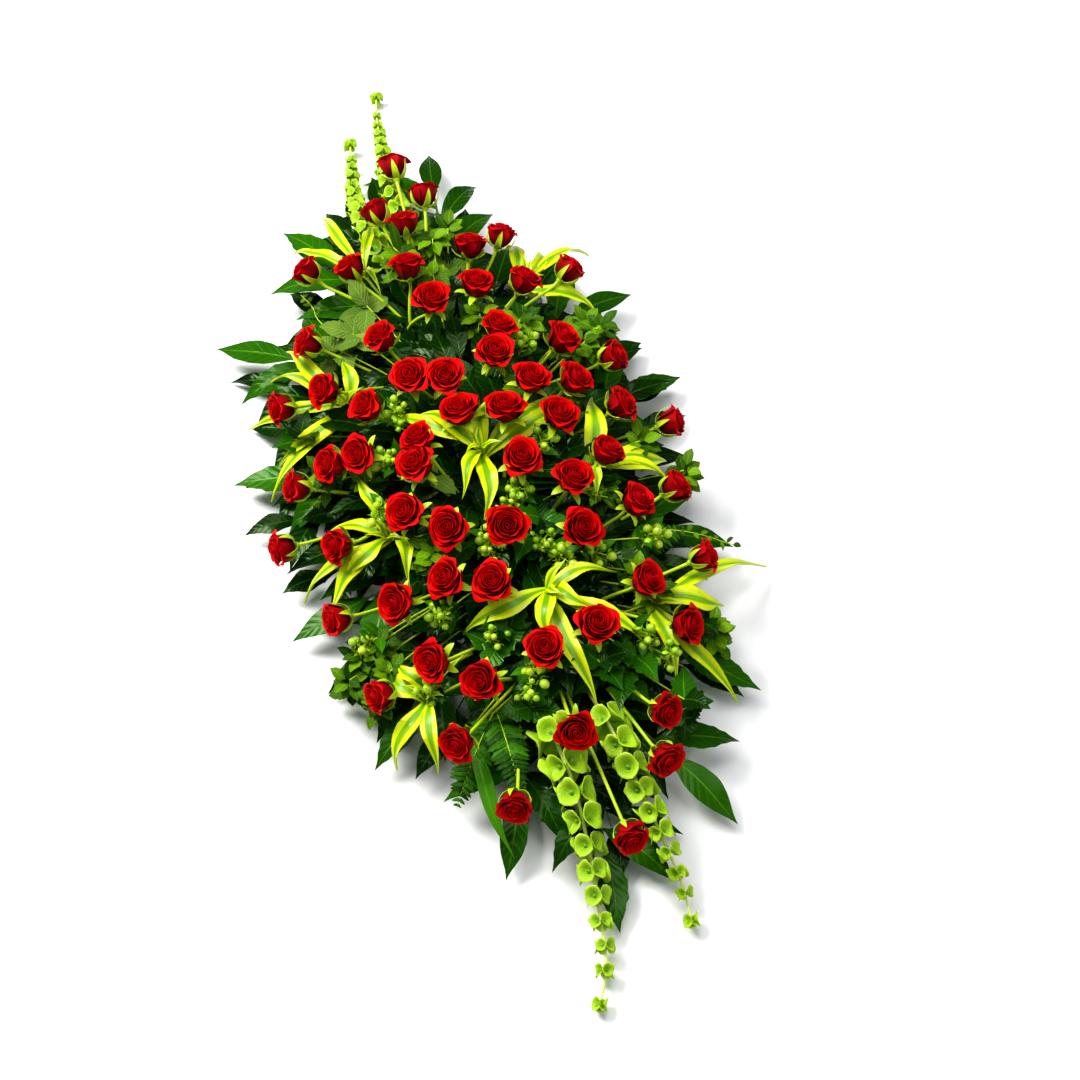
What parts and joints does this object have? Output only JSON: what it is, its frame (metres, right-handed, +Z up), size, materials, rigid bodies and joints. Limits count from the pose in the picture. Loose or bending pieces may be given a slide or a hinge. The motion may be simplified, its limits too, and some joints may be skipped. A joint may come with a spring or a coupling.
{
  "type": "casket spray",
  "caption": "Long low diamond-shaped casket spray of red roses, laurel, variegated blades, bells of Ireland and berries in wet foam on a plastic tray.",
  "frame": {"origin": "centre of the tray's flat underside, on the surface it stands on", "axes": "+X along the spray towards its foot end, +Y to its right, +Z up"},
  "size_m": [1.7098, 0.7327, 0.2407],
  "materials": {
    "tray_plastic": "satin",
    "wet_foam": "matte",
    "anchor_tape": "satin",
    "rose_petal": "matte",
    "laurel_leaf": "satin",
    "variegated_blade": "satin",
    "bell_cup": "matte",
    "berry_skin": "gloss",
    "fern_leaf": "matte"
  },
  "bodies": {
    "root": {"anchor_tape_foot": "anchor_tape", "anchor_tape_head": "anchor_tape", "bells_foot_left": "bell_cup", "bells_foot_right": "bell_cup", "bells_head_left": "bell_cup", "bells_head_right": "bell_cup", "berries_crown": "berry_skin", "berries_foot": "berry_skin", "berries_left": "berry_skin", "blades_crown": "variegated_blade", "blades_foot_left": "variegated_blade", "blades_foot_right": "variegated_blade", "blades_head_left": "variegated_blade", "blades_head_right": "variegated_blade", "blades_lower": "variegated_blade", "blades_shoulder_left": "variegated_blade", "blades_side_left": "variegated_blade", "blades_side_right": "variegated_blade", "fern_foot": "fern_leaf", "fern_side": "fern_leaf", "foam_brick_foot": "wet_foam", "foam_brick_head": "wet_foam", "foam_brick_middle": "wet_foam", "laurel_foot_end": "laurel_leaf", "laurel_foot_end_left": "laurel_leaf", "laurel_foot_end_right": "laurel_leaf", "laurel_foot_left": "laurel_leaf", "laurel_foot_right": "laurel_leaf", "laurel_head_left": "laurel_leaf", "laurel_head_right": "laurel_leaf", "laurel_rim_left": "laurel_leaf", "laurel_rim_right": "laurel_leaf", "laurel_shoulder_left": "laurel_leaf", "laurel_shoulder_right": "laurel_leaf", "laurel_side_left": "laurel_leaf", "laurel_side_right": "laurel_leaf", "roses_crown": "rose_petal", "roses_foot_end": "rose_petal", "roses_foot_left": "rose_petal", "roses_foot_right": "rose_petal", "roses_foot_rim": "rose_petal", "roses_head_end": "rose_petal", "roses_head_left": "rose_petal", "roses_head_right": "rose_petal", "roses_inner_right": "rose_petal", "roses_lower_left": "rose_petal", "roses_lower_middle": "rose_petal", "roses_lower_right": "rose_petal", "roses_middle_left": "rose_petal", "roses_middle_right": "rose_petal", "roses_rim_left": "rose_petal", "roses_rim_right": "rose_petal", "roses_shoulder_left": "rose_petal", "roses_shoulder_right": "rose_petal", "roses_side_left": "rose_petal", "roses_side_right": "rose_petal", "roses_upper_left": "rose_petal", "roses_upper_middle": "rose_petal", "roses_upper_right": "rose_petal", "tray": "tray_plastic"}
  },
  "joints": []
}
